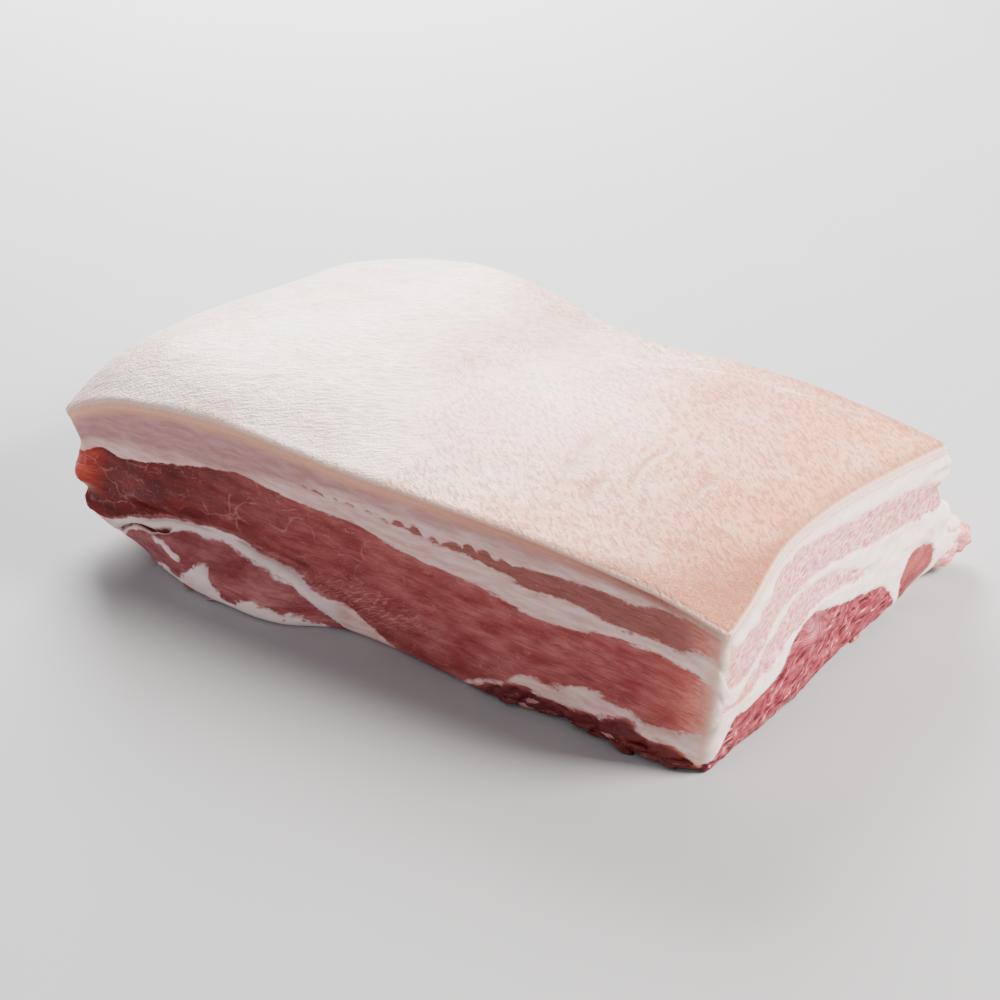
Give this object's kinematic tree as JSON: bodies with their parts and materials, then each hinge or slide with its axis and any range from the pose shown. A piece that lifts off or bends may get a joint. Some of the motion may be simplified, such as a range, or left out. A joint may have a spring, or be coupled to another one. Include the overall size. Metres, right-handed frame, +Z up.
{
  "type": "pork belly slab",
  "caption": "Slab of raw pork belly lying rind up, with layered fat and lean at its cut faces and a loose flap of meat under the long cut.",
  "frame": {"origin": "under the middle of the slab's box, on the surface that it lies on", "axes": "+X along the long cut towards the short cut end with the coarse lean, +Y away from the long cut face that has the loose flap, +Z up through the rind"},
  "size_m": [0.2219, 0.1453, 0.0601],
  "materials": {
    "rind": "smooth damp skin",
    "fat": "satin",
    "lean": "damp"
  },
  "bodies": {
    "root": {"pork_belly": "rind"}
  },
  "joints": []
}
